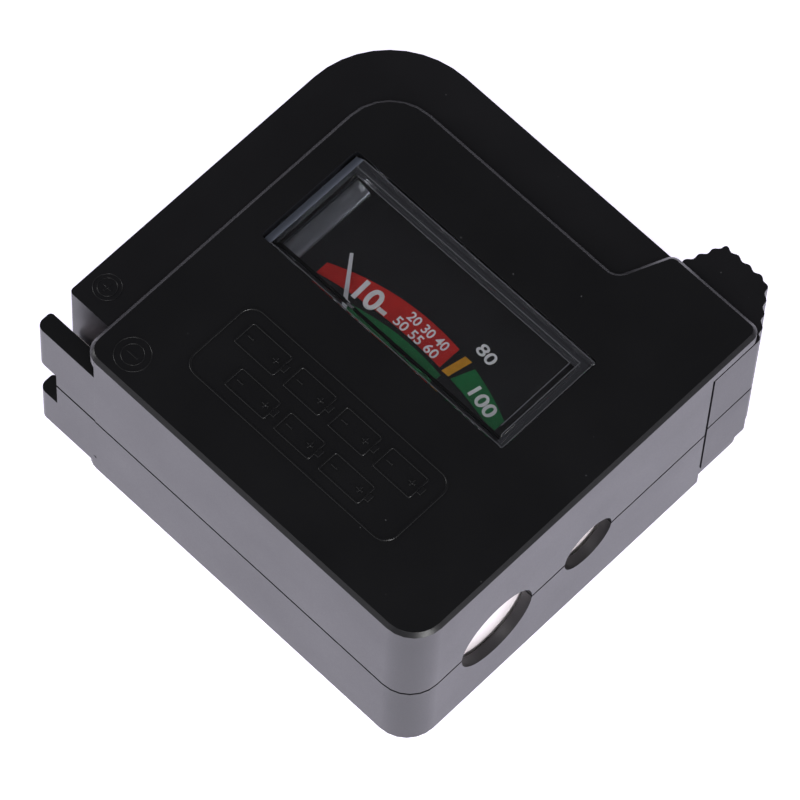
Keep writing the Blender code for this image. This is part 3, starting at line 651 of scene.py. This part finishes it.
dialNumbers = [
    {"words": "10-", "x": 21.0, "y": 24.75, "size": 2.3, "turn": 2.0, "weight": 0.09, "wide": 1.05},
    {"words": "20 30 40", "x": 27.4, "y": 26.15, "size": 1.04, "turn": -1.0, "weight": 0.022, "wide": 1.0},
    {"words": "50 55 60", "x": 27.0, "y": 24.85, "size": 1.04, "turn": -1.0, "weight": 0.022, "wide": 1.1},
    {"words": "80", "x": 33.1, "y": 28.35, "size": 1.3, "turn": -8.0, "weight": 0.03, "wide": 1.3},
    {"words": "100", "x": 36.2, "y": 24.45, "size": 1.45, "turn": -12.0, "weight": 0.05, "wide": 1.25},
]
numbers = joinPieces("dialNumbers", [addNumber(**entry) for entry in dialNumbers])
place(numbers, "case", inkWhite)
print("dial printed")


# --- raised marks on the mouldings

badge = {"x": (14.3, 41.6), "y": (5.7, 15.2), "corner": 1.7, "line": 0.22, "height": 0.13, "sunk": 0.2}


def raisedFrame(name, x, y, corner, line, top, height):
    # flat raised outline: a rounded block with its middle taken out
    sunk = badge["sunk"]
    piece = addBlock(name, x, y, (top - sunk, top + height))
    roundUprights(piece, corner, 8)
    middle = addBlock("middle", (x[0] + line, x[1] - line), (y[0] + line, y[1] - line), (top - 1.0, top + 1.0))
    roundUprights(middle, max(corner - line, 0.05), 8)
    combine(piece, middle, "DIFFERENCE")
    return piece


def cellPicture(x, y, length, height, top):
    # outline of a round cell lying down, with its cap, a plus and a minus
    line, rise = 0.2, badge["height"]
    pieces = [raisedFrame("cell", (x, x + length), (y, y + height), 0.35, line, top, rise)]
    middle = y + height / 2
    levels = (top - badge["sunk"], top + rise)
    pieces.append(addBlock("cap", (x + length, x + length + 0.5), (middle - 0.45, middle + 0.45), levels))
    pieces.append(addBlock("minus", (x + 0.6, x + 1.4), (middle - 0.1, middle + 0.1), levels))
    plus = addBlock("plus", (x + length - 1.4, x + length - 0.6), (middle - 0.1, middle + 0.1), levels)
    combine(plus, addBlock("upright", (x + length - 1.1, x + length - 0.9), (middle - 0.4, middle + 0.4), levels),
            "UNION")
    pieces.append(plus)
    return joinPieces("cell", pieces)


def makeBadge():
    top = topHigh[2]
    pieces = [raisedFrame("badge", badge["x"], badge["y"], badge["corner"], badge["line"], top, badge["height"])]
    for x, length in ((16.0, 5.4), (22.6, 4.8), (28.6, 4.8), (34.6, 5.0)):
        pieces.append(cellPicture(x, 10.9, length, 2.9, top))
    for x, length in ((18.6, 5.4), (25.2, 4.8), (31.2, 5.4)):
        pieces.append(cellPicture(x, 7.0, length, 2.6, top))
    piece = joinPieces("badgeFrame", pieces)
    softenEdges(piece, 0.045, 1, 40.0, 30.0)
    place(piece, "case", caseBlack)


makeBadge()

polarity = {"minus": (10.3, 3.1), "minusRing": 1.85, "plus": (2.7, 7.15), "plusRing": 1.45, "bead": 0.055}


def makePolarityMarks():
    x, y = polarity["minus"]
    top, bead = topHigh[2], polarity["bead"]
    levels = (top - 0.1, top + bead)
    pieces = [addRing("ring", x, y, top, polarity["minusRing"], bead), addRing("ring", x, y, top, 1.15, bead),
              addBlock("bar", (x - 0.7, x + 0.7), (y - 0.12, y + 0.12), levels)]
    piece = joinPieces("caseMinusMark", pieces)
    softenEdges(piece, 0.03, 1, 60.0, 35.0)
    place(piece, "case", caseBlack)
    x, y = polarity["plus"]
    top = armHigh[2]
    levels = (top - 0.1, top + bead)
    plus = addBlock("bar", (x - 0.55, x + 0.55), (y - 0.12, y + 0.12), levels)
    combine(plus, addBlock("upright", (x - 0.12, x + 0.12), (y - 0.55, y + 0.55), levels), "UNION")
    pieces = [addRing("ring", x, y, top, polarity["plusRing"], bead), addRing("ring", x, y, top, 1.0, bead), plus]
    piece = joinPieces("armPlusMark", pieces)
    softenEdges(piece, 0.03, 1, 60.0, 35.0)
    place(piece, "arm", armBlack)


makePolarityMarks()
print("raised marks made")

# the needle keeps its CAD shape
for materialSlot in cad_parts["pointer"].material_slots:
    materialSlot.material = needleWhite


# --- cross-head screws under the case and the arm

screw = {"cross": 0.28, "reach": 0.72, "fullWidth": 3.2, "depth": 0.55, "edge": 0.06}


def makeScrew(node, body):
    low, high = span(node)
    x, y = (low[0] + high[0]) / 2, (low[1] + high[1]) / 2
    reach = screw["reach"] * (high[0] - low[0]) / screw["fullWidth"]
    piece = copyNode(node, node.replace("_", ""))
    levels = (low[2] - 1.0, low[2] + screw["depth"])
    for wide, deep in ((reach, screw["cross"] / 2), (screw["cross"] / 2, reach)):
        combine(piece, addBlock("cross", (x - wide, x + wide), (y - deep, y + deep), levels), "DIFFERENCE")
    softenEdges(piece, screw["edge"], 2, 40.0, 30.0)
    place(piece, body, steel, [node])


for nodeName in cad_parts:
    if nodeName.startswith("case_screw"):
        makeScrew(nodeName, "case")
    elif nodeName.startswith("arm_screw"):
        makeScrew(nodeName, "arm")
print("screws made")


# --- floor, light and camera

studio = {
    "rampEnds": (0.42, 0.72), "lampSize": 0.5, "frontSize": 0.55, "floorColour": (0.86, 0.84, 0.90),
    "floorGlow": (1.0, 0.96, 1.16), "floorGlowStrength": 0.80, "horizon": 0.26, "zenith": 0.07,
    "frontPower": 0.35, "keyPower": 5.0, "fillPower": 3.0, "sidePower": 8.0,
}


def makeFloor():
    clearSelection()
    bpy.ops.mesh.primitive_plane_add(size=4.0, location=(0.0, 0.0, startCorner.z))
    floor = bpy.context.object
    floor.name = "floor"
    finish = Finish("floorWhite")
    finish.set(colour=studio["floorColour"], roughness=0.9, emission=studio["floorGlow"],
               glow=studio["floorGlowStrength"])
    floor.data.materials.append(finish.material)


def makeWorld():
    world = bpy.data.worlds.new("studioRoom")
    bpy.context.scene.world = world
    world.use_nodes = True
    tree = world.node_tree
    coordinate = tree.nodes.new("ShaderNodeTexCoord")
    split = tree.nodes.new("ShaderNodeSeparateXYZ")
    ramp = tree.nodes.new("ShaderNodeValToRGB")
    horizon, zenith = studio["horizon"], studio["zenith"]
    ramp.color_ramp.elements[0].position = studio["rampEnds"][0]
    ramp.color_ramp.elements[0].color = (horizon, horizon * 0.985, horizon * 1.05, 1.0)
    ramp.color_ramp.elements[1].position = studio["rampEnds"][1]
    ramp.color_ramp.elements[1].color = (zenith, zenith, zenith * 1.1, 1.0)
    tree.links.new(coordinate.outputs["Generated"], split.inputs[0])
    tree.links.new(split.outputs["Z"], ramp.inputs["Fac"])
    tree.links.new(ramp.outputs["Color"], tree.nodes["Background"].inputs["Color"])


def addLight(name, spot, size, power):
    clearSelection()
    bpy.ops.object.light_add(type="AREA", location=spot)
    light = bpy.context.object
    light.name = name
    light.data.shape = "DISK"
    light.data.size = size
    light.data.energy = power
    light.rotation_euler = (-Vector(spot)).to_track_quat("-Z", "Y").to_euler()


cameraView = {"place": (0.17944, -0.20841, 0.56319), "right": (0.7142, 0.6993, 0.0295),
              "down": (0.6376, -0.6327, -0.4393), "forward": (-0.2886, 0.3326, -0.8978), "lens": 283.3}


def makeCamera():
    data = bpy.data.cameras.new("camera")
    camera = bpy.data.objects.new("camera", data)
    bpy.context.scene.collection.objects.link(camera)
    right, forward = Vector(cameraView["right"]).normalized(), Vector(cameraView["forward"]).normalized()
    up = right.cross(forward).normalized()
    turned = Matrix((right, up, -forward)).transposed().to_4x4()
    camera.matrix_world = Matrix.Translation(cameraView["place"]) @ turned
    data.sensor_width = 36.0
    data.lens = cameraView["lens"]
    data.clip_start = 0.02
    bpy.context.scene.camera = camera


makeFloor()
makeWorld()
addLight("keyLight", (0.34, -0.45, 1.0), studio["lampSize"], studio["keyPower"])
addLight("frontLight", (-0.29, -0.90, 0.335), studio["frontSize"], studio["frontPower"])
addLight("fillLight", (-0.95, -0.60, 0.45), studio["lampSize"], studio["fillPower"])
addLight("sideLight", (0.95, -0.30, 0.22), studio["lampSize"], studio["sidePower"])
makeCamera()
bpy.context.scene.view_settings.view_transform = "Standard"
print("studio made")
